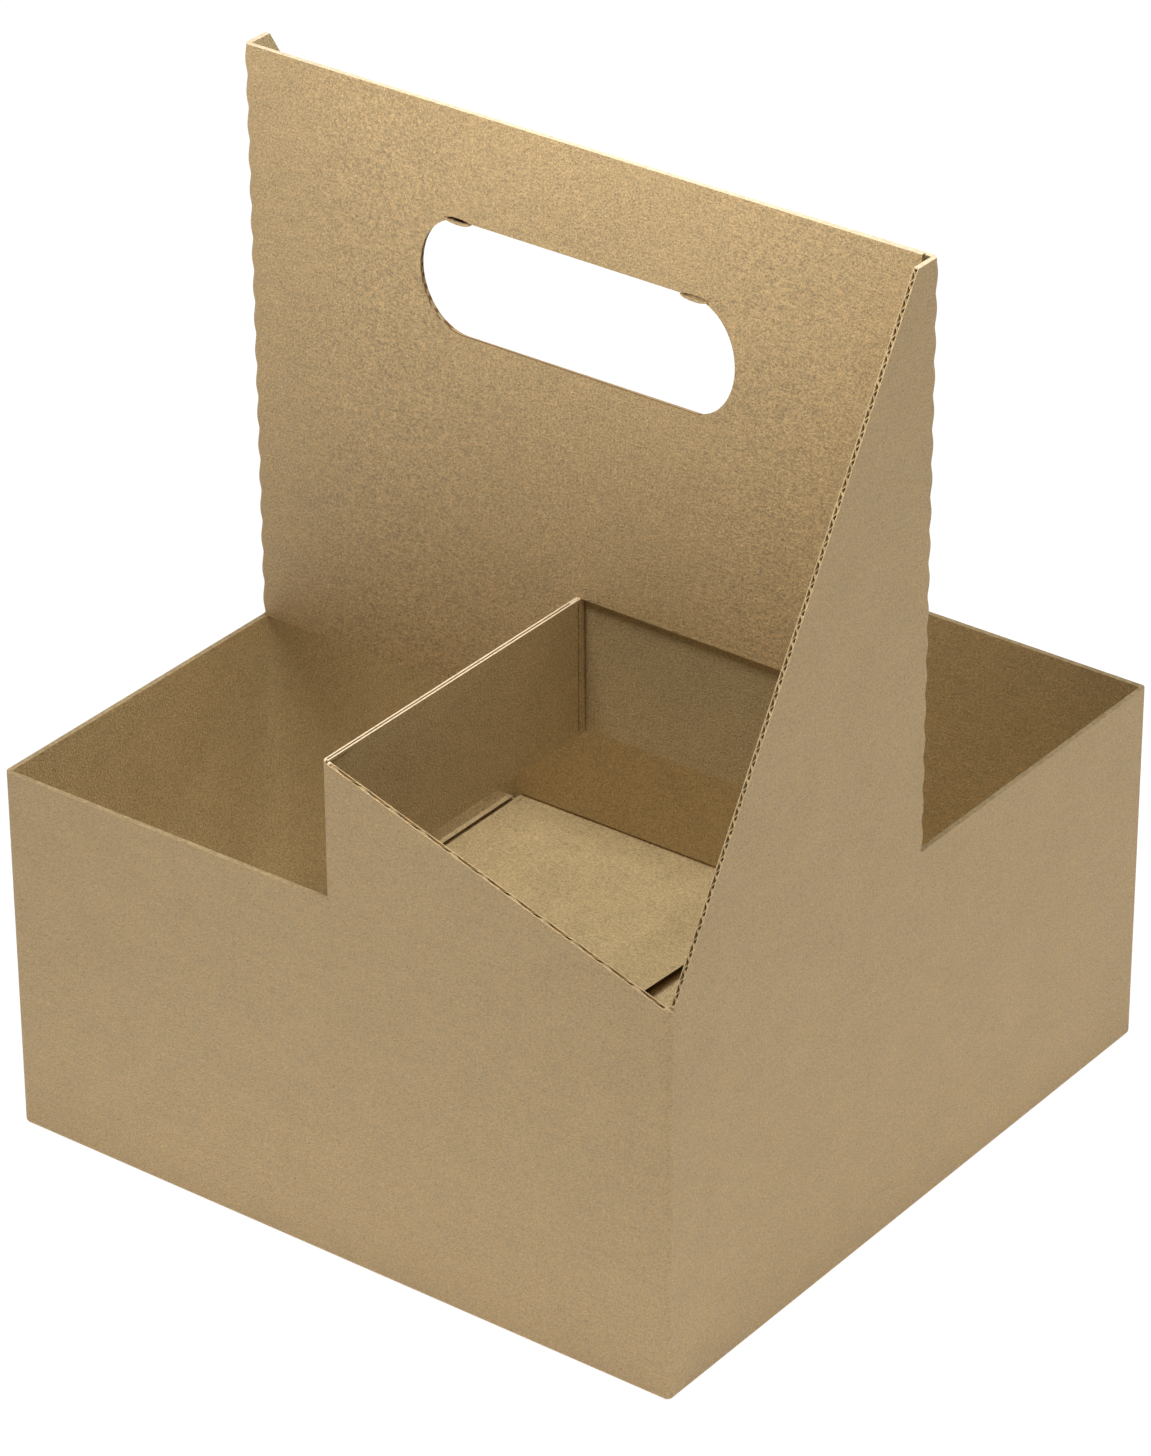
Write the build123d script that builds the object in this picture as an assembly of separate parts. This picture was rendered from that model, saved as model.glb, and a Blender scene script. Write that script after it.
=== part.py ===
from build123d import *
import os

# One sheet of thin corrugated board, cut, folded and glued into a carrier for four cups.
# The blank has a half turn of symmetry about Z, so most pieces are built once and turned.

# Board and folds
board = 1.4
fold_outer = 1.6
fold_inner = 0.4
base_fold = 1.2

# Walls, measured over the outside
side_x = 203.0
side_y = 203.0
wall_height = 103.0
step_height = 141.0
corner_height = 109.0

# Wings and handle layers
handle_height = 262.0
rear_drop = 1.3
wing_top = 8.4
end_gap = 0.7

# Perforated folds between the wings and the handle layers
perf_pitch = 8.8
perf_crest = 0.35
perf_dip = 0.95

# Grip hole, with the flap that is folded back through it
grip_length = 94.5
grip_height = 30.7
grip_end = 12.6
grip_below_top = 29.2
grip_margin = 1.5
flap_hinge = 68.0
flap_height = 22.0
flap_corner = 9.0
relief_length = 7.0
relief_height = 1.3

# Bottom flaps
base_gap = 1.2
side_clearance = 1.6
hinge_bead = 1.0
flap_clearance = 1.4
middle_gap = 8.0
long_reach = 122.0
shoulder_reach = 38.0
short_reach = 12.0
flap_lift = 2.5

# Derived places
half_x = side_x / 2
half_y = side_y / 2
inner_x = half_x - board
inner_y = half_y - board
grip_top = handle_height - grip_below_top
grip_middle = grip_top - grip_height / 2


def plate_xz(points, y_from, y_to):
    """A flat piece drawn in X and Z, between two values of Y."""
    outline = Polyline(*[(x, y_from, z) for x, z in points], close=True)
    return extrude(make_face(outline), amount=y_to - y_from, dir=(0, 1, 0))


def plate_yz(points, x_from, x_to):
    """A flat piece drawn in Y and Z, between two values of X."""
    outline = Polyline(*[(x_from, y, z) for y, z in points], close=True)
    return extrude(make_face(outline), amount=x_to - x_from, dir=(1, 0, 0))


def block(x_from, x_to, y_from, y_to, z_from, z_to):
    """A box between two corners."""
    middle = ((x_from + x_to) / 2, (y_from + y_to) / 2, (z_from + z_to) / 2)
    return Pos(*middle) * Box(x_to - x_from, y_to - y_from, z_to - z_from)


def half_turn(shape):
    """The same piece on the other side of the carrier."""
    return Rot(0, 0, 180) * shape


def outer_form():
    """The space that the folded carrier fills: its folds are round at the corners and along the base."""
    form = extrude(RectangleRounded(side_x, side_y, fold_outer), handle_height)
    return fillet(form.faces().sort_by(Axis.Z)[0].edges(), min(base_fold, 0.8 * fold_outer))


def wall_tube():
    """The four walls as one tube, as high as the handle."""
    inside = extrude(RectangleRounded(2 * inner_x, 2 * inner_y, fold_inner), handle_height)
    return outer_form() - inside


def stepped_wall():
    """Where the front wall is: low on the left, a step in the middle, then a slope to the corner."""
    profile = [(-half_x, 0), (-half_x, wall_height), (0, wall_height), (0, step_height),
               (half_x, corner_height), (half_x, 0)]
    return plate_xz(profile, -half_y, -inner_y + fold_inner)


def winged_wall(top):
    """Where the left wall is: low in front, and behind the middle a wing up to the handle."""
    profile = [(-half_y, 0), (-half_y, wall_height), (-board, wall_height), (-board, top),
               (wing_top - board, top), (half_y, corner_height), (half_y, 0)]
    return plate_yz(profile, -half_x, -inner_x + fold_inner)


def handle_layer(top):
    """The layer that turns in from the left wing; its lower right band is the divider."""
    end = inner_x - end_gap
    profile = [(-half_x, wall_height), (-half_x, top), (end, top), (end, step_height),
               (board, step_height), (board, wall_height)]
    return plate_xz(profile, -board, 0)


def divider():
    """The band that turns forward out of the handle layer and joins the step of the front wall."""
    return block(0, board, -half_y, 0, wall_height, step_height)


def step_rounding():
    """What the fold between the step and the divider leaves off a sharp corner."""
    corner = block(0, fold_outer, -half_y, fold_outer - half_y, wall_height, step_height)
    bend = Pos(fold_outer, fold_outer - half_y, (wall_height + step_height) / 2)
    return corner - bend * Cylinder(fold_outer, step_height - wall_height)


def perforation(top):
    """What the perforated fold leaves off a sharp corner: a crest between every two nicks."""
    count = max(1, round((top - wall_height) / perf_pitch))
    pitch = (top - wall_height) / count
    crests = []
    for i in range(count):
        low = i * pitch
        crests.append(ThreePointArc((-perf_dip, low), (-perf_crest, low + pitch / 2), (-perf_dip, low + pitch)))
    outside = Polyline((-perf_dip, count * pitch), (board, count * pitch), (board, 0), (-perf_dip, 0))
    face = make_face(Curve() + crests + outside)
    diagonal = Plane(origin=(-half_x, -board, wall_height), x_dir=(-1, -1, 0), z_dir=(-1, 1, 0))
    return extrude(diagonal * face, amount=perf_dip * 2, both=True)


def blank_half(tube, top):
    """Half of the blank above the bottom: two walls, a wing, a handle layer and a divider."""
    walls = tube & (stepped_wall() + winged_wall(top))
    return walls + handle_layer(top) + divider() - step_rounding() - perforation(top)


def minor_flap():
    """The bottom flap of the left wall, which the carrier stands on."""
    width = inner_y - side_clearance
    return block(-half_x, -base_gap / 2, -width, width, 0, board)


def major_flap():
    """The bottom flap of the front wall: long on the right, cut back on the left, and sprung up a little."""
    wide = inner_x - flap_clearance
    hinge = -inner_y - board / 2
    outline = [(-wide, hinge), (wide, hinge), (wide, long_reach - inner_y),
               (middle_gap / 2, long_reach - inner_y), (middle_gap / 2, shoulder_reach - inner_y),
               (-wide, short_reach - inner_y)]
    flat = extrude(make_face(Polyline(*[(x, y, board) for x, y in outline], close=True)), board)
    axle = Pos(0, -inner_y, board)
    bead = block(-wide, wide, -half_y, -inner_y + hinge_bead, 0, 2 * board)
    return axle * Rot(flap_lift, 0, 0) * axle.inverse() * flat + bead


def grip_hole(margin_below, rise_above):
    """A slot with flattened round ends; the margins make it larger for the rear layer."""
    height = grip_height + margin_below + rise_above
    straight = grip_length - 2 * grip_end
    end = Ellipse(grip_end + margin_below, height / 2)
    outline = Rectangle(straight, height) + Pos(-straight / 2, 0) * end + Pos(straight / 2, 0) * end
    middle = grip_middle + (rise_above - margin_below) / 2
    return Pos(0, 0, middle) * extrude(Plane.XZ * outline, amount=board * 2, both=True)


def reliefs():
    """The thin cuts at both ends of the grip flap's fold."""
    lens = extrude(Plane.XZ * Ellipse(relief_length / 2, relief_height / 2), amount=board * 2, both=True)
    place = flap_hinge / 2 + relief_length / 4
    return Pos(-place, 0, grip_top) * lens + Pos(place, 0, grip_top) * lens


def grip_flap():
    """The flap out of the front layer: under the rear layer's edge, then up along its back."""
    half = flap_hinge / 2
    under = block(-half, half, -board, 2 * board, grip_top, grip_top + board)
    under = fillet(under.edges().filter_by(Axis.X).sort_by(Axis.Z)[:2], board * 0.8)
    up = block(-half, half, board, 2 * board, grip_top + board / 2, grip_top + flap_height)
    up = fillet(up.edges().filter_by(Axis.Y).sort_by(Axis.Z)[-2:], flap_corner)
    return under + up


def in_layer(shape, y_from, y_to):
    """The part of a cutter that lies inside one handle layer."""
    return shape & block(-half_x, half_x, y_from, y_to, wall_height, handle_height)


def carrier():
    tube = wall_tube()
    front = blank_half(tube, handle_height) - in_layer(grip_hole(0, 0) + reliefs(), -board, 0)
    rear = half_turn(blank_half(tube, handle_height - rear_drop))
    rear -= in_layer(grip_hole(grip_margin, board), 0, board)
    base = (minor_flap() + major_flap()) & outer_form()
    return front + rear + base + half_turn(base) + grip_flap()


os.makedirs("parts", exist_ok=True)
export_step(carrier(), "parts/carrier.step")
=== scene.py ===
import math

import bmesh
import bpy
from bpy.props import FloatProperty, FloatVectorProperty, PointerProperty
from mathutils import Matrix, Vector


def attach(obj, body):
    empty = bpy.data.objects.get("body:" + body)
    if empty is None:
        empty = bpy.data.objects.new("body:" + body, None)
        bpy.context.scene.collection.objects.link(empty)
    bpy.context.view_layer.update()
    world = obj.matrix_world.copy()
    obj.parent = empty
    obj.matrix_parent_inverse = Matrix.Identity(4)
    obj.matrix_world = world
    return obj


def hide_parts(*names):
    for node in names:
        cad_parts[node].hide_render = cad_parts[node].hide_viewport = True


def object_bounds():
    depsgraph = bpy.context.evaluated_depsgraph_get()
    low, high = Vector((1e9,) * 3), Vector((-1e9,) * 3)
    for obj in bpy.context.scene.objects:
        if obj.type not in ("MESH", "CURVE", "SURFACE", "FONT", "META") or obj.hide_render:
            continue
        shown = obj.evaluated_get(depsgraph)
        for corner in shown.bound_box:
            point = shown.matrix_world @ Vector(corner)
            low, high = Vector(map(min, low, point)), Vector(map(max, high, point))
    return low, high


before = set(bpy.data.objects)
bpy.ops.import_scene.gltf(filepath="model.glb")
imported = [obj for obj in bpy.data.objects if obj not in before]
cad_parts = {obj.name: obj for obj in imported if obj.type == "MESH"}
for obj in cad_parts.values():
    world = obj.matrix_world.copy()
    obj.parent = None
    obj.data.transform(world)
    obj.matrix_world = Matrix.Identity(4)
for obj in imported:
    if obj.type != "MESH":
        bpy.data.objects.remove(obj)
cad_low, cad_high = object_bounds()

bl_info = {
    "name": "Corrugated cup carrier",
    "version": (1, 0, 0),
    "blender": (4, 5, 0),
    "location": "3D View > Sidebar > Cup carrier",
    "description": "Makes a folded cup carrier of corrugated board, and a studio to show it in",
    "category": "Object",
}

MM = 0.001

# The board and its folds; sizes are in millimetres where nothing else is said
HALF = (cad_high.x - cad_low.x) / 2 / MM     # half of the square footprint, outside
TOP = cad_high.z / MM                        # top of the front handle layer
BOARD = 1.4
INNER = HALF - BOARD
FOLD_INNER = 0.4                             # inside radius of the upright folds
FOLD_START = INNER - FOLD_INNER
HAIRLINE = 0.03                              # half the gap between the two handle layers

# Walls, wings and handle layers
WALL_TOP = 103.0
STEP_TOP = 141.0
CORNER_TOP = 109.3
WALL_SLAB = INNER - 0.2                      # a cut through one wall reaches in to here
WING_FLAT = 7.0                              # the wing's flat top reaches this far behind the middle
REAR_DROP = 1.3
LAYER_END = INNER - 0.7
NICK_CREST = 0.30                            # what a perforated fold loses at a crest and at a nick
NICK_DIP = 0.80

# Grip hole, the flap that is folded back through it, and the relief cuts beside the flap
GRIP_TOP = 232.8
GRIP_HEIGHT = 30.7
GRIP_LENGTH = 94.5
GRIP_END = 12.6
GRIP_FLARE = 1.1                             # the front layer's hole is wider by this at its back
REAR_MARGIN = 1.5
HINGE_HALF = 34.0
FLAP_TOP = GRIP_TOP + 22.0
FLAP_CORNER = 9.0
RELIEF_MIDDLE = HINGE_HALF + 1.4

# Bottom flaps
FLAP_START = 1.1                             # they start this far in from the outside of the walls
FLAT_END = 0.08                              # the flat flaps end this far from the middle
FLAT_CLEARANCE = 0.4
LONG_CLEARANCE = 3.3
LONG_TAPER = 0.048                           # a long flap narrows by this share of its reach
MIDDLE_GAP = 6.6                             # from the middle to the inner end of a long flap
LONG_REACH = 122.0
SHOULDER_REACH = 38.0
SHORT_REACH = 12.0
FLAP_LIFT = math.radians(2.5)

# How the cut edges are found and opened
ABOVE_ALL = TOP + 12.0
FLAPS_BELOW = 9.0                            # cut edges below this belong to the bottom flaps
EDGES_ABOVE = 90.0                           # cut edges of the walls lie above this
DIVIDER_START = 5.0                          # the divider's open top starts this far from the middle
DIVIDER_RIM = 0.48
DIVIDER_SINK = 0.8
FLUTE_RECESS = 0.03                          # the fluting ends this far below a cut
FLUTE_PAPER = 0.27                           # thickness of the fluting's paper, as it shows on the wings
SLOPE_FLUTE_PAPER = 0.12                     # the same on the slope of the low walls

# The board's papers, by the number of their slot
OUTER_LINER, CUT_LINER, VOID_PAINTED_SHADE, CRUSHED_RIM_AND_SHADE, INNER_LINER, EDGE_PAINTED_HIGHLIGHT, WALL_RIM_PAINTED_SHADE = range(7)

# In metres: the point that the camera looks at, and half the length and depth of the zone on the handle where
# the grain's colour contrast is raised, as painted shading of the grain under light that skims the handle
CAMERA_AIM = (-0.00126, -0.00095, 0.10308)
PAINTED_SIDELIGHT_ZONE = (0.0985, 0.0040)

# How strongly the floor shows as white to the camera, and how much of its look that white makes up
FLOOR_WHITE = 1.035
FLOOR_SHARE = 0.9


# Settings that a user may change

class BoardSettings(bpy.types.PropertyGroup):
    fold_radius: FloatProperty(
        name="Fold radius", description="Outside radius of the upright folds",
        default=1.6 * MM, min=0.5 * MM, max=3 * MM, subtype="DISTANCE", unit="LENGTH")
    base_radius: FloatProperty(
        name="Base radius", description="Outside radius of the folds along the base",
        default=1.2 * MM, min=0.5 * MM, max=3 * MM, subtype="DISTANCE", unit="LENGTH")
    liner: FloatProperty(
        name="Liner", description="Thickness of one liner, seen on a cut edge",
        default=0.26 * MM, min=0.1 * MM, max=0.5 * MM, subtype="DISTANCE", unit="LENGTH")
    void_depth: FloatProperty(
        name="Void depth", description="How deep a cut edge is open between the liners",
        default=1.6 * MM, min=0.2 * MM, max=4 * MM, subtype="DISTANCE", unit="LENGTH")
    flute_pitch: FloatProperty(
        name="Flute pitch", description="From one flute to the next",
        default=2.8 * MM, min=1 * MM, max=8 * MM, subtype="DISTANCE", unit="LENGTH")
    nick_pitch: FloatProperty(
        name="Nick pitch", description="From one nick to the next on the perforated folds",
        default=8.83 * MM, min=4 * MM, max=20 * MM, subtype="DISTANCE", unit="LENGTH")
    lean: FloatProperty(
        name="Lean", description="Angle at which the front handle layer stands off the rear one",
        default=math.radians(0.35), min=0, max=math.radians(1), subtype="ANGLE", unit="ROTATION")
    outer_colour: FloatVectorProperty(
        name="Outer liner", description="Colour of the board's outer faces",
        default=(0.557, 0.383, 0.179), min=0, max=1, subtype="COLOR")
    inner_colour: FloatVectorProperty(
        name="Inner liner", description="Colour of the board's inner faces",
        default=(0.512, 0.384, 0.190), min=0, max=1, subtype="COLOR")
    cut_colour: FloatVectorProperty(
        name="Cut colour", description="Colour of the liner where it is cut or creased",
        default=(0.560, 0.415, 0.225), min=0, max=1, subtype="COLOR")
    # Lighter than the cut colour: a painted highlight on the level edges that catch the light.
    painted_highlight_colour: FloatVectorProperty(
        name="Edge painted highlight", description="Colour of the level edges that catch the light",
        default=(0.710, 0.570, 0.385), min=0, max=1, subtype="COLOR")
    # Near black: painted shade at the bottom of the open flutes, deep in the cuts beside the grip flap and
    # under the inner ends of the bottom flaps.
    painted_void_colour: FloatVectorProperty(
        name="Void painted shade", description="Colour inside the open flutes",
        default=(0.042, 0.021, 0.008), min=0, max=1, subtype="COLOR")


class StudioSettings(bpy.types.PropertyGroup):
    azimuth: FloatProperty(
        name="Azimuth", description="Angle of the camera round the carrier",
        default=math.radians(37.075), subtype="ANGLE", unit="ROTATION")
    elevation: FloatProperty(
        name="Elevation", description="Angle of the camera above the horizon",
        default=math.radians(29.771), subtype="ANGLE", unit="ROTATION")
    roll: FloatProperty(
        name="Roll", description="Turn of the camera about its own axis",
        default=math.radians(-0.288), subtype="ANGLE", unit="ROTATION")
    distance: FloatProperty(
        name="Distance", description="From the camera to the carrier",
        default=1.5416, min=0.2, subtype="DISTANCE", unit="LENGTH")
    lens: FloatProperty(name="Lens", description="Focal length on a 36 mm sensor", default=153.3, min=20)
    overhead: FloatProperty(
        name="Overhead light", description="Power of the soft light right above",
        default=13.3, min=0, subtype="POWER", unit="POWER")
    right: FloatProperty(
        name="Right light", description="Power of the soft light above the right-hand side",
        default=2.2, min=0, subtype="POWER", unit="POWER")
    handle: FloatProperty(
        name="Handle light", description="Power of the small lights above the front of the handle",
        default=0.40, min=0, subtype="POWER", unit="POWER")
    glow: FloatProperty(
        name="Floor glow", description="Strength of the light that the lit floor throws up",
        default=0.50, min=0)
    sky: FloatProperty(name="Sky", description="Strength of the light from all round", default=0.0, min=0)


# Modelling tools

def select_only(obj):
    bpy.ops.object.select_all(action="DESELECT")
    obj.select_set(True)
    bpy.context.view_layer.objects.active = obj


def add_block(name, x, y, z):
    """Adds a block between two values of each axis, in millimetres."""
    low, high = Vector((x[0], y[0], z[0])) * MM, Vector((x[1], y[1], z[1])) * MM
    bpy.ops.object.select_all(action="DESELECT")
    bpy.ops.mesh.primitive_cube_add(size=1, location=(low + high) / 2, scale=high - low)
    block = bpy.context.active_object
    block.name = block.data.name = name
    bpy.ops.object.transform_apply(location=True, rotation=True, scale=True)
    return block


def edit(obj, mode="FACE"):
    select_only(obj)
    bpy.ops.object.mode_set(mode="EDIT")
    bpy.ops.mesh.select_mode(type=mode)
    bpy.ops.mesh.select_all(action="DESELECT")


def leave():
    bpy.ops.object.mode_set(mode="OBJECT")


def pick_points(obj, test):
    """Selects the points whose place, in millimetres, passes a test."""
    mesh = bmesh.from_edit_mesh(obj.data)
    for vert in mesh.verts:
        if test(vert.co / MM):
            vert.select_set(True)
    bmesh.update_edit_mesh(obj.data)


def pick_edges(obj, test):
    """Selects the edges whose ends, in millimetres, pass a test. Says how many there are."""
    mesh = bmesh.from_edit_mesh(obj.data)
    found = 0
    for edge in mesh.edges:
        a, b = (vert.co / MM for vert in edge.verts)
        if test(a, b):
            edge.select_set(True)
            found += 1
    bmesh.update_edit_mesh(obj.data)
    return found


def pick_faces(obj, test):
    """Selects the faces whose middle, in millimetres, and normal pass a test. Says how many there are."""
    mesh = bmesh.from_edit_mesh(obj.data)
    found = 0
    for face in mesh.faces:
        if test(face.calc_center_median() / MM, face.normal):
            face.select_set(True)
            found += 1
    bmesh.update_edit_mesh(obj.data)
    return found


def need(found, what):
    if not found:
        raise RuntimeError("nothing was selected for " + what)


def round_edges(obj, radius, segments, test, what):
    edit(obj, "EDGE")
    need(pick_edges(obj, test), what)
    bpy.ops.mesh.bevel(offset=radius, offset_type="OFFSET", segments=segments, profile=0.5, affect="EDGES")
    leave()


def slice_off(obj, point, normal, close=True):
    """Cuts a piece through a plane and takes away what lies on the normal's side; a solid is closed again."""
    edit(obj, "FACE")
    bpy.ops.mesh.select_all(action="SELECT")
    bpy.ops.mesh.bisect(plane_co=Vector(point) * MM, plane_no=normal, use_fill=close, clear_outer=True)
    leave()
    return obj


def join(parts, name):
    select_only(parts[0])
    for part in parts[1:]:
        part.select_set(True)
    bpy.ops.object.join()
    whole = bpy.context.active_object
    whole.name = whole.data.name = name
    return whole


def repeat(obj, count, step):
    """Makes a row of copies, each moved on by a step in millimetres, and merges the points that meet."""
    select_only(obj)
    stack = obj.modifiers.new("Stack", "ARRAY")
    stack.count, stack.use_relative_offset, stack.use_constant_offset = count, False, True
    stack.constant_offset_displace = [value * MM for value in step]
    stack.use_merge_vertices, stack.merge_threshold = True, 0.01 * MM
    bpy.ops.object.modifier_apply(modifier=stack.name)


def turn(obj, matrix):
    """Moves a whole object and puts its place back into its mesh."""
    obj.matrix_world = matrix
    select_only(obj)
    bpy.ops.object.transform_apply(location=True, rotation=True, scale=True)
    return obj


def half_turn(obj):
    """Turns an object half round the upright axis, with no rounding error."""
    select_only(obj)
    obj.scale = (-1, -1, 1)
    bpy.ops.object.transform_apply(location=True, rotation=True, scale=True)
    return obj


def placed(obj, turned):
    """Leaves a piece where it is, or turns it to the other half of the carrier."""
    return half_turn(obj) if turned else obj


def combine(obj, other, operation):
    """Joins two solids, or cuts the second out of the first, and uses the second one up."""
    select_only(obj)
    modifier = obj.modifiers.new(operation.title(), "BOOLEAN")
    modifier.operation, modifier.solver, modifier.object = operation, "EXACT", other
    bpy.ops.object.modifier_apply(modifier=modifier.name)
    bpy.data.objects.remove(other, do_unlink=True)
    return obj


def tidy_mesh(obj):
    """Merges points that lie on top of each other and takes out those in the middle of straight edges."""
    edit(obj, "VERT")
    bpy.ops.mesh.select_all(action="SELECT")
    bpy.ops.mesh.remove_doubles(threshold=0.004 * MM)
    bpy.ops.mesh.dissolve_limited(angle_limit=math.radians(0.05), use_dissolve_boundaries=False,
                                  delimit={"MATERIAL"})
    leave()


# The folded board

def upright(a, b):
    return abs(a.x - b.x) < 0.01 and abs(a.y - b.y) < 0.01 and abs(a.z - b.z) > 1


def wall_tube(settings):
    """The four walls as one tube with round folds, cut to no height yet."""
    height = TOP + 4
    outside = add_block("carrier_board", (-HALF, HALF), (-HALF, HALF), (0, height))
    round_edges(outside, settings.fold_radius, 6, upright, "the upright folds")
    round_edges(outside, settings.base_radius, 4, lambda a, b: a.z < 0.01 and b.z < 0.01, "the base folds")
    inside = add_block("inside", (-INNER, INNER), (-INNER, INNER), (-5, height + 5))
    round_edges(inside, FOLD_INNER * MM, 3, upright, "the inner folds")
    return combine(outside, inside, "DIFFERENCE")


def outline_cutters(top):
    """What is cut away above the front and left walls, up to the wing's height."""
    out = HALF + 8
    front, left = (-out, -WALL_SLAB), (-out, 0.04 - WALL_SLAB)
    step = add_block("cutter", (-out, 0), front, (WALL_TOP, ABOVE_ALL))
    slope = add_block("cutter", (-5, out), front, (WALL_TOP - 10, ABOVE_ALL))
    run = Vector((WALL_SLAB, 0, CORNER_TOP - STEP_TOP))
    slice_off(slope, (0, 0, STEP_TOP), run.cross(Vector((0, -1, 0))).normalized())
    low = add_block("cutter", left, (-out, -BOARD), (WALL_TOP, ABOVE_ALL))
    wing = add_block("cutter", left, (WING_FLAT - 5, WALL_SLAB + 0.03), (WALL_TOP - 10, ABOVE_ALL))
    fall = Vector((0, WALL_SLAB - WING_FLAT, CORNER_TOP + 0.06 - top))
    slice_off(wing, (0, WING_FLAT, top), fall.cross(Vector((1, 0, 0))).normalized())
    flat = add_block("cutter", left, (-BOARD - 2, WING_FLAT + 5), (top, ABOVE_ALL))
    return [step, slope, low, wing, flat]


def scallop_bar(settings, top):
    """A bar whose inner side is scalloped: it leaves a crest between every two nicks of a perforated fold."""
    count = round((top - WALL_TOP) * MM / settings.nick_pitch)
    pitch = (top - WALL_TOP) / count
    rows = 10
    bar = add_block("scallops", (-4, 0), (-6, 6), (0, pitch))
    edit(bar, "EDGE")
    need(pick_edges(bar, upright), "the scallop's rows")
    bpy.ops.mesh.subdivide(number_cuts=rows - 1)
    leave()
    for row in range(rows + 1):
        share = row / rows
        crest = (0.5 - 0.5 * math.cos(2 * math.pi * share)) ** 0.7
        depth = NICK_DIP - (NICK_DIP - NICK_CREST) * crest
        edit(bar, "VERT")
        pick_points(bar, lambda p: p.x > -0.5 and abs(p.z - pitch * share) < 0.01)
        bpy.ops.transform.translate(value=(depth * MM, 0, 0))
        leave()
    repeat(bar, count, (0, 0, pitch))
    edit(bar, "FACE")
    need(pick_faces(bar, lambda c, n: abs(n.z) > 0.99 and 0.5 < c.z < pitch * count - 0.5),
         "the inner ends")
    bpy.ops.mesh.delete(type="FACE")
    pick_faces(bar, lambda c, n: n.z > 0.99)
    bpy.ops.transform.translate(value=(0, 0, 1 * MM))
    bpy.ops.mesh.select_all(action="DESELECT")
    pick_faces(bar, lambda c, n: n.z < -0.99)
    bpy.ops.transform.translate(value=(0, 0, 0.05 * MM))
    leave()
    corner = Matrix.Translation(Vector((-HALF, -BOARD, WALL_TOP)) * MM)
    return turn(bar, corner @ Matrix.Rotation(math.radians(45), 4, "Z"))


def handle_layer(top):
    """The layer that hangs on the left wing, without the lower right band."""
    layer = add_block("layer", (-HALF + BOARD / 2, LAYER_END), (-BOARD, -HAIRLINE), (WALL_TOP, top))
    band = add_block("cutter", (BOARD - 0.3, HALF + 5), (-5, 5), (WALL_TOP - 5, STEP_TOP))
    return combine(layer, band, "DIFFERENCE")


def lean_out(obj, settings):
    """Turns a piece of the front layer about the fold that it hangs on."""
    axle = Matrix.Translation(Vector((-HALF, 0, 0)) * MM)
    return turn(obj, axle @ Matrix.Rotation(-settings.lean, 4, "Z") @ axle.inverted())


def divider(gap):
    """The band that is folded forward out of a layer, with the crease beside its far fold."""
    end = 0.02 - HAIRLINE - gap
    band = add_block("divider", (0, BOARD), (-HALF, end), (WALL_TOP, STEP_TOP))
    crease = add_block("crease", (BOARD - 0.35, BOARD + 1), (end - 2.7, end - 2.2),
                       (WALL_TOP + 1, STEP_TOP - 0.8))
    return combine(band, crease, "DIFFERENCE")


def grip_cutter(margin, y, flare=0):
    """A slot with flattened round ends, through one handle layer; its back may be wider than its front."""
    height = GRIP_HEIGHT + margin
    length = GRIP_LENGTH + 2 * margin
    end = GRIP_END + margin
    count = 64
    half_step = math.pi / count
    bpy.ops.object.select_all(action="DESELECT")
    bpy.ops.mesh.primitive_cylinder_add(vertices=count, radius=MM / math.cos(half_step),
                                        depth=(y[1] - y[0]) * MM, rotation=(0, 0, half_step))
    slot = bpy.context.active_object
    bpy.ops.object.transform_apply(location=True, rotation=True, scale=True)
    for side in (-1, 1):
        edit(slot, "VERT")
        pick_points(slot, lambda p: p.x * side > 0)
        bpy.ops.transform.translate(value=(side * (length / 2 - end) / end * MM, 0, 0))
        leave()
    middle = Vector((0, (y[0] + y[1]) / 2, GRIP_TOP - height / 2)) * MM
    turn(slot, Matrix.Translation(middle) @ Matrix.Rotation(math.pi / 2, 4, "X")
         @ Matrix.Diagonal((end, height / 2, 1, 1)))
    if flare:
        edit(slot, "FACE")
        need(pick_faces(slot, lambda c, n: n.y > 0.9), "the slot's back")
        bpy.ops.mesh.extrude_region_move(TRANSFORM_OT_translate={"value": (0, (1 - HAIRLINE / 2) * MM, 0)})
        wider = ((length + 2 * flare) / length, 1, (height + 2 * flare) / height)
        bpy.ops.transform.resize(value=wider, center_override=middle)
        leave()
    return slot


def rear_notch():
    """The room that the folded flap needs in the rear layer."""
    half = HINGE_HALF + 0.4
    return add_block("notch", (-half, half), (HAIRLINE / 2, 3), (GRIP_TOP - 6, GRIP_TOP + BOARD + 0.05))


def relief_lens(side, half_length, half_height, y):
    """A lens at one end of the grip flap's fold, between two depths: the cut there, its back or its lip."""
    bpy.ops.object.select_all(action="DESELECT")
    bpy.ops.mesh.primitive_cylinder_add(vertices=24, radius=1 * MM, depth=2 * MM,
                                        rotation=(0, 0, math.radians(7.5)))
    lens = bpy.context.active_object
    bpy.ops.object.transform_apply(location=True, rotation=True, scale=True)
    place = Matrix.Translation(Vector((side * RELIEF_MIDDLE, (y[0] + y[1]) / 2, GRIP_TOP)) * MM)
    size = Matrix.Diagonal((half_length, half_height, (y[1] - y[0]) / 2, 1))
    return turn(lens, place @ Matrix.Rotation(math.pi / 2, 4, "X") @ size)


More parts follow.
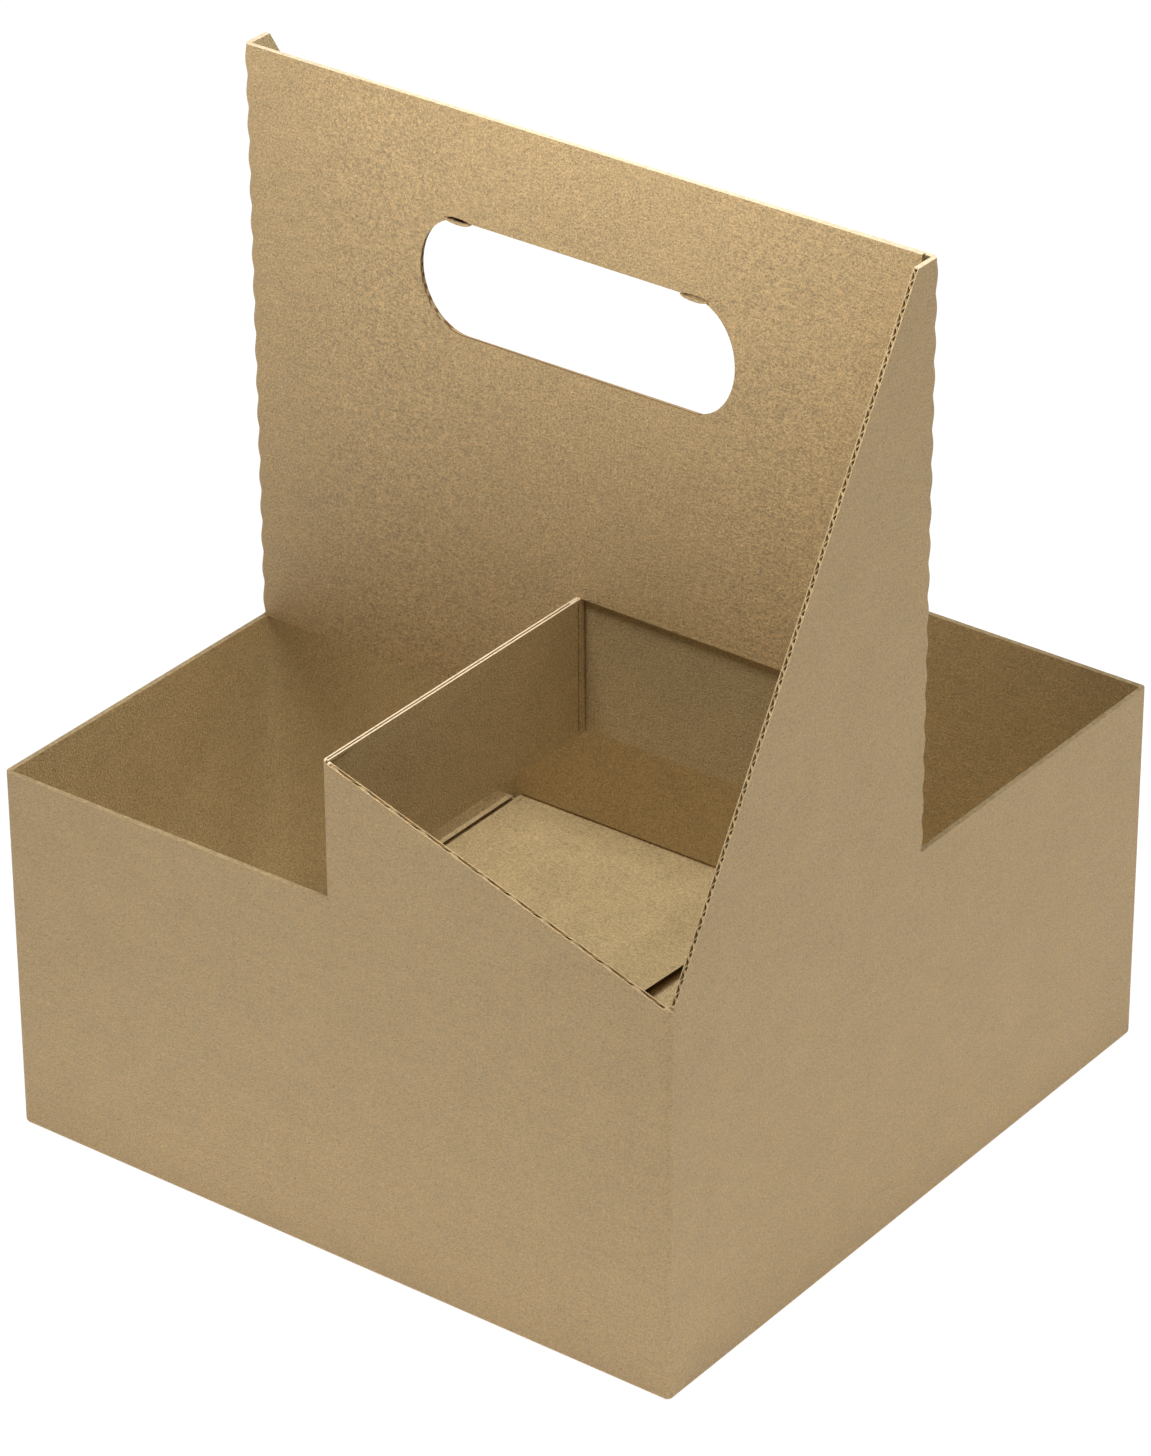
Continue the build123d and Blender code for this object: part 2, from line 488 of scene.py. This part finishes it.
def add_reliefs(layer):
    """A short open cut at both ends of the grip flap's fold, with a lip below it."""
    for side in (-1, 1):
        combine(layer, relief_lens(side, 3.2, 0.55, (-4, 2)), "DIFFERENCE")
        lip = combine(relief_lens(side, 4.1, 1.15, (-BOARD - 0.35, -0.8)),
                      relief_lens(side, 3.1, 0.56, (-4, 2)), "DIFFERENCE")
        above = add_block("above", (-60, 60), (-9, 9), (GRIP_TOP - 0.02, GRIP_TOP + 9))
        combine(layer, combine(lip, above, "DIFFERENCE"), "UNION")
        combine(layer, relief_lens(side, 3.9, 1.1, (-0.9, -0.25)), "UNION")


def grip_flap():
    """The flap that is folded back through the hole and up behind the rear layer."""
    back = BOARD + HAIRLINE
    low = GRIP_TOP - 0.02
    across = (-HINGE_HALF, HINGE_HALF)
    under = add_block("flap", across, (-BOARD + 0.01, back + BOARD), (low, GRIP_TOP + BOARD))
    round_edges(under, 1.2 * MM, 4,
                lambda a, b: abs(a.x - b.x) > 5 and max(a.z, b.z) < low + 0.1 and min(a.y, b.y) > 0,
                "the flap's second fold")
    up = add_block("flap_up", across, (back, back + BOARD), (GRIP_TOP + BOARD / 2, FLAP_TOP))
    round_edges(up, FLAP_CORNER * MM, 8,
                lambda a, b: abs(a.y - b.y) > 1 and min(a.z, b.z) > FLAP_TOP - 1, "the flap's corners")
    return combine(under, up, "UNION")


def bottom_flaps():
    """Half of the bottom: a flap that lies flat, and a long one over it that has sprung up a little."""
    clear = INNER - FLAT_CLEARANCE
    wide = INNER - LONG_CLEARANCE
    hinge = -INNER - BOARD / 2
    flat = add_block("flap_flat", (-HALF + FLAP_START, -FLAT_END), (-clear, clear), (0.02, BOARD))
    long_part = add_block("flap_long", (MIDDLE_GAP, wide), (hinge, LONG_REACH - INNER), (BOARD, 2 * BOARD))
    short_part = add_block("flap_short", (-wide, MIDDLE_GAP + 0.01), (hinge, SHOULDER_REACH + 7 - INNER),
                           (BOARD, 2 * BOARD))
    slope = Vector((MIDDLE_GAP + wide, SHOULDER_REACH - SHORT_REACH, 0))
    shoulder = (MIDDLE_GAP, SHOULDER_REACH - INNER, 0)
    slice_off(short_part, shoulder, Vector((-slope.y, slope.x, 0)).normalized())
    slice_off(long_part, (wide, -INNER, 0), Vector((1, LONG_TAPER, 0)).normalized())
    combine(long_part, short_part, "UNION")
    axle = Matrix.Translation(Vector((0, -INNER, BOARD)) * MM)
    turn(long_part, axle @ Matrix.Rotation(FLAP_LIFT, 4, "X") @ axle.inverted())
    bead = add_block("bead", (-wide - 0.1, wide + 0.1), (-HALF + FLAP_START, -INNER + 1), (0.04, 2 * BOARD))
    combine(long_part, bead, "UNION")
    return flat, long_part, fold_roll()


def fold_roll():
    """The foot of the left wall, which bulges in over the fold of the flap that lies flat."""
    foot = add_block("foot", (-INNER - 0.3, -INNER + 5), (-99, 99), (1, 8))
    slice_off(foot, (1.1 - INNER, 0, 3.5), Vector((0.4, 0, 1.2)).normalized())
    slice_off(foot, (2.3 - INNER, 0, 3.1), Vector((1, 0, -1)).normalized())
    roll = add_block("roll", (-INNER - 0.3, -INNER + 1.12), (-98.9, 98.9), (1.5, 9))
    slice_off(roll, (-INNER, 0, 6.8), Vector((3.3, 0, 1.1)).normalized())
    combine(roll, foot, "UNION")
    slice_off(roll, (0, 92.5, 6.8), Vector((0, 3.7, 5.5)).normalized())
    return slice_off(roll, (0, -92.5, 6.8), Vector((0, -3.7, 5.5)).normalized())


def hinge_groove():
    """The crease in the front wall right above its bottom flap."""
    return add_block("groove", (4 - INNER, INNER - 4), (-INNER - 0.5, -INNER + 0.5), (2.9, 3.55))


def in_grip(c):
    return abs(c.x) < 60 and abs(c.y) < 2.4 and GRIP_TOP - 36 < c.z < GRIP_TOP + 3


def is_inner(c, n):
    """Whether a face belongs to the side of the board that is folded in."""
    if c.z < 12 and n.z > 0.3:
        return True
    if abs(n.x) > 0.9 and 1 < abs(c.x) < 2 and WALL_TOP < c.z < STEP_TOP:
        return True
    return n.x * c.x + n.y * c.y < -0.005 and abs(n.z) < 0.5


def at_step(c):
    return abs(c.x) < 1.9 and abs(c.y) > FOLD_START


def at_fold(c):
    return min(abs(c.x), abs(c.y)) > INNER - 0.5


def is_level_edge(c, n):
    """Whether a face belongs to a cut along the flutes, which is closed."""
    if n.z < 0.9 or c.z < EDGES_ABOVE or in_grip(c):
        return False
    return at_step(c) or min(abs(c.z - WALL_TOP), abs(c.z - STEP_TOP)) < 0.1 or c.z > TOP - REAR_DROP - 0.1


def is_divider_top(c, n):
    """Whether a face is the top of a divider band, where both liners show."""
    return n.z > 0.9 and abs(c.z - STEP_TOP) < 0.1 and abs(c.x) < BOARD and 10 < abs(c.y) < INNER - 10


def is_wall_edge(c, n):
    """Whether a face belongs to the top of a low wall or of an upright fold; these tops get painted shade, a
    darker copy of the cut colour.
    """
    if n.z > 0.2 and c.z > WALL_TOP + 1 and at_fold(c):
        return True
    return is_level_edge(c, n) and c.z < WALL_TOP + 1


def is_cut_edge(c, n):
    """Whether a face belongs to an open cut edge of the board."""
    if c.z < FLAPS_BELOW:
        return c.z > BOARD and abs(n.x) > 0.9 and 90 < abs(c.x) < INNER - 3
    if c.z < EDGES_ABOVE or in_grip(c) or at_step(c) or at_fold(c) or is_level_edge(c, n):
        return False
    if n.z > 0.2:
        return not (1.42 < abs(c.y) < 3 and c.z < GRIP_TOP + 5)
    if n.z < -0.9:
        return c.z < STEP_TOP + 1
    return abs(n.x) > 0.9 and abs(abs(c.x) - LAYER_END) < 0.2 and abs(c.y) < 3


def is_crushed_edge(c, n):
    """Whether a face belongs to the rim of the grip hole or to the edge of a bottom flap."""
    if in_grip(c):
        return abs(n.y) < 0.9 and not (c.z > GRIP_TOP - 0.5 and abs(c.x) < HINGE_HALF - 3)
    return c.z < FLAPS_BELOW and abs(n.z) < 0.3 and max(abs(c.x), abs(c.y)) < INNER - 2


def is_painted_shade_face(c, n):
    """Whether a face lies deep in a cut beside the grip flap, or under the inner end of a bottom flap; these
    faces are painted near black as shade.
    """
    if c.z < FLAPS_BELOW:
        return c.z > BOARD and abs(n.x) > 0.9 and abs(c.x) < 12
    return in_grip(c) and abs(abs(c.x) - RELIEF_MIDDLE) < 4 and n.y < -0.9 and c.y > -BOARD - 0.3


def part_faces(board, test, point, normal):
    """Parts the faces that pass a test along a plane."""
    edit(board, "FACE")
    pick_faces(board, test)
    bpy.ops.mesh.bisect(plane_co=Vector(point) * MM, plane_no=normal)
    leave()


def part_corners(board):
    """Parts the tops of the folds, the divider tops and the foot of the step from what is beside them."""
    for normal in ((1, 0, 0), (0, 1, 0)):
        for side in (-1, 1):
            part_faces(board,
                       lambda c, n: n.z > 0.2 and c.z > WALL_TOP + 1 and max(abs(c.x), abs(c.y)) > INNER,
                       Vector(normal) * side * FOLD_START, normal)
    for side in (-1, 1):
        part_faces(board, lambda c, n: n.z > 0.9 and abs(c.z - STEP_TOP) < 0.1 and abs(c.x) < BOARD,
                   (0, side * DIVIDER_START, 0), (0, 1, 0))
    for side in (-1, 1):
        for place in (0.3, -1.9):
            part_faces(board, lambda c, n: n.z > 0.9 and c.z > WALL_TOP - 1 and c.y * side > FOLD_START,
                       (side * place, 0, 0), (1, 0, 0))


def sink(board, test, rim, depth, paper):
    """Sets the middle of some faces back, and leaves a rim of the board's liners round them."""
    edit(board, "FACE")
    need(pick_faces(board, test), test.__name__)
    bpy.ops.mesh.inset(thickness=rim, depth=0, use_boundary=True, use_even_offset=True)
    board.active_material_index = paper
    bpy.ops.object.material_slot_assign()
    bpy.ops.mesh.extrude_region_shrink_fatten(
        TRANSFORM_OT_shrink_fatten={"value": -depth, "use_even_offset": False})
    leave()


def open_cut_edges(board, settings):
    """Gives the faces their papers and sets the cut edges in between the liners, as the open flutes do; the
    set-back middles and the deep faces get near black painted shade.
    """
    part_corners(board)
    papers = ((INNER_LINER, is_inner), (CRUSHED_RIM_AND_SHADE, is_crushed_edge), (VOID_PAINTED_SHADE, is_painted_shade_face),
              (EDGE_PAINTED_HIGHLIGHT, is_level_edge), (WALL_RIM_PAINTED_SHADE, is_wall_edge), (CUT_LINER, is_cut_edge))
    for paper, test in papers:
        edit(board, "FACE")
        need(pick_faces(board, test), test.__name__)
        board.active_material_index = paper
        bpy.ops.object.material_slot_assign()
        leave()
    # The set-back middle of each open cut edge is painted near black: painted shade of the open flutes.
    sink(board, is_cut_edge, settings.liner, settings.void_depth, VOID_PAINTED_SHADE)
    sink(board, is_divider_top, DIVIDER_RIM * MM, DIVIDER_SINK * MM, CRUSHED_RIM_AND_SHADE)


# The fluting that shows on the cut edges

def corrugated_sheet(settings, length, height):
    """A wavy sheet with level flutes, in the plane of X and Z, with its lowest corner at the origin."""
    pitch = settings.flute_pitch / MM
    depth = BOARD - 2 * settings.liner / MM
    rows = 8
    bpy.ops.object.select_all(action="DESELECT")
    bpy.ops.mesh.primitive_grid_add(x_subdivisions=1, y_subdivisions=rows, size=1)
    sheet = bpy.context.active_object
    sheet.name = sheet.data.name = "fluting"
    middle = Matrix.Translation(Vector((length / 2, pitch / 2, 0)) * MM)
    turn(sheet, middle @ Matrix.Diagonal((length * MM, pitch * MM, 1, 1)))
    for row in range(rows + 1):
        edit(sheet, "VERT")
        pick_points(sheet, lambda p: abs(p.y - pitch * row / rows) < 0.01)
        bpy.ops.transform.translate(value=(0, 0, depth / 2 * MM * math.sin(2 * math.pi * row / rows)))
        leave()
    repeat(sheet, math.ceil(height / pitch), (0, pitch, 0))
    return turn(sheet, Matrix.Rotation(math.pi / 2, 4, "X"))


def thicken(sheet, thickness):
    select_only(sheet)
    modifier = sheet.modifiers.new("Paper", "SOLIDIFY")
    modifier.thickness, modifier.offset = thickness * MM, 0
    bpy.ops.object.modifier_apply(modifier=modifier.name)
    return sheet


def keep_strip(sheet, point, up, depth):
    """Keeps the strip of an open sheet that lies right under a sloping cut."""
    slice_off(sheet, point - up * FLUTE_RECESS, up, close=False)
    slice_off(sheet, point - up * depth, -up, close=False)


def slope_fluting(settings, depth):
    """Fluting along the sloping cut of the front wall."""
    sheet = corrugated_sheet(settings, WALL_SLAB - 0.6, STEP_TOP - CORNER_TOP + 3)
    turn(sheet, Matrix.Translation(Vector((0.6, -HALF + BOARD / 2, CORNER_TOP - 2)) * MM))
    along = Vector((WALL_SLAB, 0, CORNER_TOP - STEP_TOP))
    up = Vector((-along.z, 0, along.x)).normalized()
    keep_strip(sheet, Vector((0, 0, STEP_TOP)), up, depth)
    return thicken(sheet, SLOPE_FLUTE_PAPER)


def wing_fluting(settings, top, depth):
    """Fluting along the sloping cut of the left wing."""
    sheet = corrugated_sheet(settings, WALL_SLAB - WING_FLAT, top - CORNER_TOP + 2)
    place = Matrix.Translation(Vector((-HALF + BOARD / 2, WING_FLAT, CORNER_TOP - 1)) * MM)
    turn(sheet, place @ Matrix.Rotation(math.pi / 2, 4, "Z"))
    along = Vector((0, WALL_SLAB - WING_FLAT, CORNER_TOP - top))
    up = Vector((0, -along.z, along.y)).normalized()
    keep_strip(sheet, Vector((0, WING_FLAT, top)), up, depth)
    return thicken(sheet, FLUTE_PAPER)


def end_fluting(settings, top, depth):
    """Fluting in the free end of a handle layer."""
    sheet = corrugated_sheet(settings, depth, top - STEP_TOP - 0.8)
    place = Vector((LAYER_END - depth - FLUTE_RECESS, -BOARD / 2, STEP_TOP + 0.4))
    turn(sheet, Matrix.Translation(place * MM))
    slice_off(sheet, (0, 0, top - 0.4), (0, 0, 1), close=False)
    return thicken(sheet, FLUTE_PAPER)


# Materials

class Value:
    """A shader socket that takes part in sums."""

    def __init__(self, tree, socket):
        self.tree, self.socket = tree, socket

    def _sum(self, operation, a, b):
        return self.tree.add("ShaderNodeMath", {"operation": operation}, {0: a, 1: b})

    def __add__(self, other):
        return self._sum("ADD", self, other)

    def __radd__(self, other):
        return self._sum("ADD", other, self)

    def __sub__(self, other):
        return self._sum("SUBTRACT", self, other)

    def __rsub__(self, other):
        return self._sum("SUBTRACT", other, self)

    def __mul__(self, other):
        return self._sum("MULTIPLY", self, other)

    def __rmul__(self, other):
        return self._sum("MULTIPLY", other, self)


class Shader:
    """The node tree of one material, or of the world."""

    def __init__(self, name, kind="materials"):
        known = getattr(bpy.data, kind)
        self.owner = known.get(name) or known.new(name)
        self.owner.use_nodes = True
        self.nodes, self.links = self.owner.node_tree.nodes, self.owner.node_tree.links
        self.nodes.clear()

    def add(self, kind, settings=None, inputs=None, output=0):
        """Adds one node: its settings first, then the values or links of its sockets."""
        node = self.nodes.new(kind)
        for name, value in (settings or {}).items():
            setattr(node, name, value)
        for key, value in (inputs or {}).items():
            if isinstance(value, Value):
                self.links.new(value.socket, node.inputs[key])
            else:
                node.inputs[key].default_value = value
        return Value(self, node.outputs[output]) if len(node.outputs) else None

    def mix(self, factor, a, b):
        """Mixes two colours."""
        return self.add("ShaderNodeMix", {"data_type": "RGBA", "clamp_factor": False},
                        {0: factor, 6: a, 7: b}, 2)

    def noise(self, where, scale, detail, roughness, stretch=(1, 1, 1)):
        """Noise in a space that is stretched along its axes; a larger number makes it finer that way."""
        place = self.add("ShaderNodeMapping", {"vector_type": "POINT"}, {"Vector": where, "Scale": stretch})
        return self.add("ShaderNodeTexNoise", {"noise_dimensions": "3D"},
                        {"Vector": place, "Scale": scale, "Detail": detail, "Roughness": roughness})

    def steps(self, value, low, high):
        """0 below low, 1 above high, smooth between."""
        return self.add("ShaderNodeMapRange", {"interpolation_type": "SMOOTHSTEP"},
                        {0: value, 1: low, 2: high, 3: 0.0, 4: 1.0})

    def seen(self):
        """1 where the camera sees the surface straight, mirrored or through glass."""
        rays = [self.add("ShaderNodeLightPath", output=name)
                for name in ("Is Camera Ray", "Is Glossy Ray", "Is Transmission Ray")]
        pair = self.add("ShaderNodeMath", {"operation": "MAXIMUM"}, {0: rays[0], 1: rays[1]})
        return self.add("ShaderNodeMath", {"operation": "MAXIMUM"}, {0: pair, 1: rays[2]})

    def finish(self, surface, output="ShaderNodeOutputMaterial"):
        self.add(output, None, {"Surface": surface})
        return self.owner


def shade(colour, factor):
    """A darker or lighter tone of a colour, with no transparency."""
    return (colour[0] * factor, colour[1] * factor, colour[2] * factor, 1.0)


def liner_material(name, paper, contrast, painted_sidelight_contrast, ribbed, settings):
    """Uncoated kraft liner: grain, level streaks, dark specks, and faint level lines over the flutes; on the
    handle the grain's colour contrast is raised as painted shading of light that skims it.
    """
    s = Shader(name)
    where = s.add("ShaderNodeTexCoord", output="Object")
    clouds = s.noise(where, 60, 2, 0.5)
    mottle = s.noise(where, 420, 2, 0.6)
    grain = s.noise(where, 1450, 3, 0.65, (1.0, 1.0, 1.3))
    fine = s.noise(where, 2700, 1, 0.5)
    streaks = s.noise(where, 1100, 2, 0.5, (0.12, 0.12, 1.0))
    specks = s.noise(where, 900, 1, 0.5, (1.0, 1.0, 1.7))
    # On the handle the grain's colour contrast is raised: painted shading of the grain under light that skims
    # the handle.
    painted_sidelight_mask = 1.0
    for axis, limit in zip("XY", PAINTED_SIDELIGHT_ZONE):
        place = s.add("ShaderNodeSeparateXYZ", None, {0: where}, output=axis)
        distance = s.add("ShaderNodeMath", {"operation": "ABSOLUTE"}, {0: place})
        painted_sidelight_mask = (1 - s.steps(distance, limit, limit + 0.001)) * painted_sidelight_mask
    tone = (grain - 0.5) * 3.6 + (fine - 0.5) * 2.6 + (streaks - 0.5) * 0.5 + (mottle - 0.5) * 0.8
    tone = tone * (painted_sidelight_mask * painted_sidelight_contrast + 1) + (clouds - 0.5) * 0.5 + 0.5
    colour = s.mix(tone, shade(paper, 1 - contrast), shade(paper, 1 + contrast))
    colour = s.mix(s.steps(specks, 0.70, 0.80) * 0.5, colour, shade(paper, 0.35))
    level = s.add("ShaderNodeSeparateXYZ", None, {0: where}, output="Z")
    ribs = s.add("ShaderNodeMath", {"operation": "SINE"}, {0: level * (2 * math.pi / settings.flute_pitch)})
    broken = s.noise(where, 45, 2, 0.6, (1.0, 1.0, 2.5))
    height = ribs * s.steps(broken, 0.42, 0.62) * ribbed
    height = height + streaks * 0.012 + mottle * 0.02 + grain * 0.20 + fine * 0.10
    bump = s.add("ShaderNodeBump", None, {"Strength": 1.0, "Distance": 0.001, "Height": height})
    rough = s.add("ShaderNodeMapRange", None, {0: mottle, 1: 0.3, 2: 0.7, 3: 0.62, 4: 0.78})
    surface = s.add("ShaderNodeBsdfPrincipled", None,
                    {"Base Color": colour, "Roughness": rough, "Normal": bump, "Specular IOR Level": 0.75})
    return s.finish(surface)


def crushed_rim_and_shade_material(settings):
    """A cut edge that is pressed shut: pale fibres, and painted shade where a flute is open, once for every
    flute.
    """
    s = Shader("crushed_edge")
    where = s.add("ShaderNodeTexCoord", output="Object")
    level = s.add("ShaderNodeSeparateXYZ", None, {0: where}, output="Z")
    waves = s.add("ShaderNodeMath", {"operation": "SINE"}, {0: level * (2 * math.pi / settings.flute_pitch)})
    patches = s.noise(where, 400, 2, 0.6)
    # Darker once for every flute: painted shade of the open flutes.
    painted_flute_shade = s.steps(waves * 0.5 + patches, 0.35, 0.85)
    tint = s.mix(painted_flute_shade, shade(settings.cut_colour, 0.75), shade(settings.painted_void_colour, 4.5))
    surface = s.add("ShaderNodeBsdfPrincipled", None,
                    {"Base Color": tint, "Roughness": 0.9, "Specular IOR Level": 0.1})
    return s.finish(surface)


def plain_paper(name, colour, scale, contrast):
    """Paper that shows only as a thin line: one colour with a little fibre in it."""
    s = Shader(name)
    where = s.add("ShaderNodeTexCoord", output="Object")
    fibres = s.noise(where, scale, 2, 0.6)
    tint = s.mix(s.steps(fibres, 0.3, 0.7), shade(colour, 1 - contrast), shade(colour, 1 + contrast * 0.5))
    surface = s.add("ShaderNodeBsdfPrincipled", None,
                    {"Base Color": tint, "Roughness": 0.95, "Specular IOR Level": 0.0})
    return s.finish(surface)


def board_papers(settings):
    """The board's materials, in the order of their slots."""
    return (
        liner_material("outer_liner", settings.outer_colour, 0.14, 0.65, 0.010, settings),
        plain_paper("cut_liner", settings.cut_colour, 900, 0.22),
        # Painted shade for the open flutes and the deep cuts.
        plain_paper("void_painted_shade", settings.painted_void_colour, 700, 0.25),
        crushed_rim_and_shade_material(settings),
        liner_material("inner_liner", settings.inner_colour, 0.20, 0.2, 0.004, settings),
        # Painted highlight on the level cut edges.
        plain_paper("edge_painted_highlight", settings.painted_highlight_colour, 900, 0.16),
        # Painted shade: a darker copy of the cut colour, so that these tops, lit from above, show less
        # bright.
        plain_paper("wall_rim_painted_shade", shade(settings.cut_colour, 0.66), 900, 0.22),
    )


# Operators

class CARRIER_OT_board(bpy.types.Operator):
    """Make the folded board: walls, wings, handle layers, dividers and bottom flaps as one sheet"""
    bl_idname = "carrier.board"
    bl_label = "Folded board"

    def execute(self, context):
        settings = context.scene.carrier_board
        board = wall_tube(settings)
        halves = ((TOP, False), (TOP - REAR_DROP, True))
        for top, turned in halves:
            for cutter in outline_cutters(top):
                combine(board, placed(cutter, turned), "DIFFERENCE")
        for top, turned in halves:
            layer = handle_layer(top)
            if turned:
                combine(layer, divider(0), "UNION")
                half_turn(layer)
                combine(layer, grip_cutter(REAR_MARGIN, (HAIRLINE / 2, 3)), "DIFFERENCE")
                combine(layer, rear_notch(), "DIFFERENCE")
            else:
                combine(layer, grip_cutter(0, (-3, -1), GRIP_FLARE), "DIFFERENCE")
                add_reliefs(layer)
                lean_out(layer, settings)
                combine(layer, divider(HALF * math.sin(settings.lean)), "UNION")
            combine(board, layer, "UNION")
        for top, turned in halves:
            combine(board, placed(scallop_bar(settings, top), turned), "DIFFERENCE")
        combine(board, grip_flap(), "UNION")
        for turned in (False, True):
            for part in bottom_flaps():
                combine(board, placed(part, turned), "UNION")
            combine(board, placed(hinge_groove(), turned), "DIFFERENCE")
        round_edges(board, settings.fold_radius, 5,
                    lambda a, b: upright(a, b) and abs(a.x) < 0.01 and abs(abs(a.y) - HALF) < 0.01,
                    "the step's fold")
        tidy_mesh(board)
        board.name = board.data.name = "carrier_board"
        board.data.materials.clear()
        for paper in board_papers(settings):
            board.data.materials.append(paper)
        open_cut_edges(board, settings)
        select_only(board)
        bpy.ops.object.shade_smooth_by_angle(angle=math.radians(24))
        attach(board, "root")
        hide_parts("carrier")
        return {"FINISHED"}


class CARRIER_OT_fluting(bpy.types.Operator):
    """Make the fluting that shows between the liners on the sloping cuts and the layers' free ends"""
    bl_idname = "carrier.fluting"
    bl_label = "Fluting on the cut edges"

    def execute(self, context):
        settings = context.scene.carrier_board
        depth = settings.void_depth / MM - 0.05
        strips = []
        for top, turned in ((TOP, False), (TOP - REAR_DROP, True)):
            end = end_fluting(settings, top, depth)
            if not turned:
                lean_out(end, settings)
            for strip in (slope_fluting(settings, depth), wing_fluting(settings, top, depth), end):
                strips.append(placed(strip, turned))
        fluting = join(strips, "fluting")
        fluting.data.materials.clear()
        fluting.data.materials.append(plain_paper("flute_paper", settings.cut_colour, 900, 0.30))
        select_only(fluting)
        bpy.ops.object.shade_smooth_by_angle(angle=math.radians(40))
        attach(fluting, "root")
        return {"FINISHED"}


class CARRIER_OT_studio(bpy.types.Operator):
    """Make the pale floor, the soft lights and the camera"""
    bl_idname = "carrier.studio"
    bl_label = "Floor, lights and camera"

    def execute(self, context):
        settings = context.scene.carrier_studio
        scene = context.scene
        self.floor(settings)
        self.sky(scene, settings)
        self.lamp("overhead", (0, 0, 1.5), 0.5, settings.overhead)
        self.lamp("overhead_right", (0.4, 0, 1.0), 0.5, settings.right)
        self.lamp("handle_near", (0, -0.14, 0.42), 0.1, settings.handle)
        self.lamp("handle_far", (0, -0.2, 0.5), 0.15, settings.handle * 0.3)
        self.camera(scene, settings)
        scene.view_settings.view_transform = "Standard"
        return {"FINISHED"}

    def floor(self, settings):
        bpy.ops.object.select_all(action="DESELECT")
        bpy.ops.mesh.primitive_plane_add(size=12, location=(0, 0, -0.0002))
        floor = bpy.context.active_object
        floor.name = "floor"
        bpy.ops.object.transform_apply(location=True, rotation=True, scale=True)
        s = Shader("pale_floor")
        paint = s.add("ShaderNodeBsdfDiffuse", None, {"Color": (0.86, 0.86, 0.86, 1), "Roughness": 0.0})
        white = s.add("ShaderNodeEmission", None, {"Color": (1, 1, 1, 1), "Strength": FLOOR_WHITE})
        glow = s.add("ShaderNodeEmission", None, {"Color": (1, 1, 1, 1), "Strength": settings.glow})
        lit = s.add("ShaderNodeAddShader", None, {0: paint, 1: glow})
        surface = s.add("ShaderNodeMixShader", None, {0: s.seen() * FLOOR_SHARE, 1: lit, 2: white})
        floor.data.materials.append(s.finish(surface))

    def sky(self, scene, settings):
        s = Shader("studio", "worlds")
        soft = s.add("ShaderNodeBackground", None, {"Color": (1, 1, 1, 1), "Strength": settings.sky})
        white = s.add("ShaderNodeBackground", None, {"Color": (1, 1, 1, 1), "Strength": 1.0})
        surface = s.add("ShaderNodeMixShader", None, {0: s.seen(), 1: soft, 2: white})
        scene.world = s.finish(surface, "ShaderNodeOutputWorld")

    def lamp(self, name, place, size, power):
        bpy.ops.object.select_all(action="DESELECT")
        bpy.ops.object.light_add(type="AREA", location=place)
        lamp = bpy.context.active_object
        lamp.name = name
        lamp.data.size = size
        lamp.data.energy = power
        lamp.visible_camera = False
        aim = Vector((0, 0, 0.12)) - Vector(place)
        lamp.rotation_euler = aim.to_track_quat("-Z", "Y").to_euler()

    def camera(self, scene, settings):
        a, e = settings.azimuth, settings.elevation
        back = Vector((math.sin(a) * math.cos(e), -math.cos(a) * math.cos(e), math.sin(e)))
        aim = Vector(CAMERA_AIM)
        bpy.ops.object.select_all(action="DESELECT")
        bpy.ops.object.camera_add(location=aim + back * settings.distance)
        camera = bpy.context.active_object
        camera.name = "camera"
        look = (-back).to_track_quat("-Z", "Y").to_matrix() @ Matrix.Rotation(settings.roll, 3, "Z")
        camera.rotation_euler = look.to_euler()
        camera.data.sensor_fit = "AUTO"
        camera.data.sensor_width = 36.0
        camera.data.lens = settings.lens
        camera.data.clip_start, camera.data.clip_end = 0.01, 50
        scene.camera = camera


class CARRIER_PT_panel(bpy.types.Panel):
    """The carrier's makers and settings"""
    bl_idname = "CARRIER_PT_panel"
    bl_label = "Cup carrier"
    bl_space_type = "VIEW_3D"
    bl_region_type = "UI"
    bl_category = "Cup carrier"

    def draw(self, context):
        layout = self.layout
        for operator in OPERATORS:
            layout.operator(operator.bl_idname)
        for settings in (context.scene.carrier_board, context.scene.carrier_studio):
            box = layout.box()
            for name in settings.__annotations__:
                box.prop(settings, name)


SETTINGS = (BoardSettings, StudioSettings)
OPERATORS = (CARRIER_OT_board, CARRIER_OT_fluting, CARRIER_OT_studio)


def register():
    for cls in SETTINGS + OPERATORS + (CARRIER_PT_panel,):
        bpy.utils.register_class(cls)
    bpy.types.Scene.carrier_board = PointerProperty(type=BoardSettings)
    bpy.types.Scene.carrier_studio = PointerProperty(type=StudioSettings)


def unregister():
    del bpy.types.Scene.carrier_studio
    del bpy.types.Scene.carrier_board
    for cls in reversed(SETTINGS + OPERATORS + (CARRIER_PT_panel,)):
        bpy.utils.unregister_class(cls)


def main():
    register()
    bpy.ops.carrier.board()
    bpy.ops.carrier.fluting()
    bpy.ops.carrier.studio()


if __name__ == "__main__":
    main()
